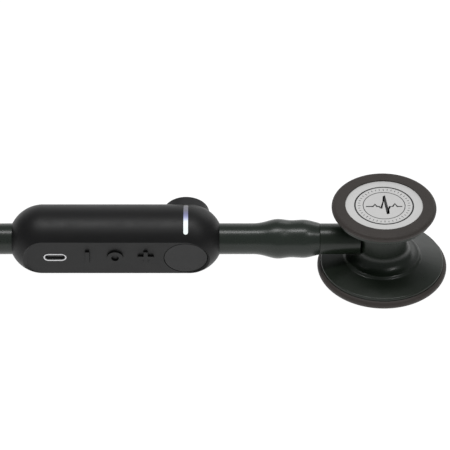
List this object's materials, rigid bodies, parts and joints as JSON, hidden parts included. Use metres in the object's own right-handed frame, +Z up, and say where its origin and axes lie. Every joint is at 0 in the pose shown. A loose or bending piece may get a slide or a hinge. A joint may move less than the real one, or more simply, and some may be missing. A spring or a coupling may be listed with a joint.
{
  "type": "digital stethoscope",
  "caption": "Stethoscope with an in-line electronic amplifier module: two-sided chestpiece on a turning stem, moulded hose, buttons and a lit strip, and a sprung headset.",
  "frame": {"origin": "centre of the large diaphragm's face, on the surface that the object lies on", "axes": "+Z up, out of the small side of the chestpiece; +X along the stem, away from the hose, so the module and the headset lie towards -X"},
  "size_m": [0.6492, 0.0842, 0.0292],
  "materials": {
    "head_metal": "satin dark green-black",
    "tubing": "satin dark green-black moulded tube",
    "casing": "matte black",
    "button": "matte black",
    "soft_rim": "matte brown-grey",
    "badge": "light grey membrane with a printed plain emblem",
    "membrane": "fibre-filled membrane",
    "light": "frosted light guide",
    "port_trim": "white",
    "fastener": "steel",
    "contact": "plated steel",
    "board": "green laminate",
    "cell": "silver pouch",
    "inner_plastic": "moulded black",
    "ear_metal": "satin black",
    "tip_rubber": "soft black"
  },
  "bodies": {
    "module": {"stem": "head_metal", "lower_tube": "tubing", "housing": "casing", "rear_cover": "casing", "cover_gasket": "soft_rim", "cover_screws": "fastener", "light_guide": "light", "led_board": "board", "chassis": "inner_plastic", "circuit_board": "board", "button_bracket": "inner_plastic", "battery": "cell", "charging_socket": "inner_plastic", "port_ring": "port_trim", "key_switches": "contact", "front_switch": "contact", "power_switch": "contact", "front_button_spring": "fastener", "power_button_spring": "fastener", "chest_connector": "inner_plastic", "headset_connector": "inner_plastic", "microphone": "contact", "speaker": "contact", "upper_tube": "tubing", "y_junction": "tubing", "leaf_spring": "fastener"},
    "chestpiece": {"chestpiece_body": "head_metal", "large_rim": "soft_rim", "large_diaphragm": "membrane", "small_rim": "soft_rim", "small_diaphragm": "badge", "detent_ball": "fastener", "detent_spring": "fastener", "detent_plug": "fastener"},
    "front_button": {"front_button": "button", "front_button_clip": "fastener"},
    "power_button": {"power_button": "button", "power_button_clip": "fastener"},
    "key_minus": {"key_minus": "button"},
    "key_mode": {"key_mode": "button"},
    "key_plus": {"key_plus": "button"},
    "left_leg": {"left_leg_tube": "tubing"},
    "right_leg": {"right_leg_tube": "tubing"},
    "left_ear": {"left_ear_tube": "ear_metal", "left_ear_tip": "tip_rubber"},
    "right_ear": {"right_ear_tube": "ear_metal", "right_ear_tip": "tip_rubber"}
  },
  "joints": [
    {"name": "chestpiece_turn", "type": "hinge", "parent": "module", "child": "chestpiece", "pos_m": [0, 0, 0.0137], "axis": [1, 0, 0], "range_deg": [0, 180]},
    {"name": "front_press", "type": "slide", "parent": "module", "child": "front_button", "axis": [0, 0.9839, 0.1788], "range_m": [0, 0.0006], "stiffness_N_per_m": 300, "deforming": ["front_button_spring"]},
    {"name": "power_press", "type": "slide", "parent": "module", "child": "power_button", "axis": [0, -0.9839, -0.1788], "range_m": [0, 0.001], "stiffness_N_per_m": 350, "deforming": ["power_button_spring"]},
    {"name": "minus_press", "type": "slide", "parent": "module", "child": "key_minus", "axis": [0, 0.9839, 0.1788], "range_m": [0, 0.00025], "stiffness_N_per_m": 400},
    {"name": "mode_press", "type": "slide", "parent": "module", "child": "key_mode", "axis": [0, 0.9839, 0.1788], "range_m": [0, 0.00025], "stiffness_N_per_m": 400},
    {"name": "plus_press", "type": "slide", "parent": "module", "child": "key_plus", "axis": [0, 0.9839, 0.1788], "range_m": [0, 0.00025], "stiffness_N_per_m": 400},
    {"name": "left_spread", "type": "hinge", "parent": "module", "child": "left_leg", "pos_m": [-0.42455, -0.0045, 0.0055], "axis": [0, 0, 1], "range_deg": [0, 14], "stiffness_Nm_per_rad": 3},
    {"name": "left_swivel", "type": "hinge", "parent": "left_leg", "child": "left_ear", "pos_m": [-0.49167, -0.02438, 0.0055], "axis": [-0.9588, -0.284, 0], "range_deg": [-25, 25]},
    {"name": "right_spread", "type": "hinge", "parent": "module", "child": "right_leg", "pos_m": [-0.42455, 0.0045, 0.0055], "axis": [0, 0, -1], "range_deg": [0, 14], "stiffness_Nm_per_rad": 3, "deforming": ["leaf_spring"]},
    {"name": "right_swivel", "type": "hinge", "parent": "right_leg", "child": "right_ear", "pos_m": [-0.49167, 0.02438, 0.0055], "axis": [-0.9588, 0.284, 0], "range_deg": [-25, 25]}
  ]
}
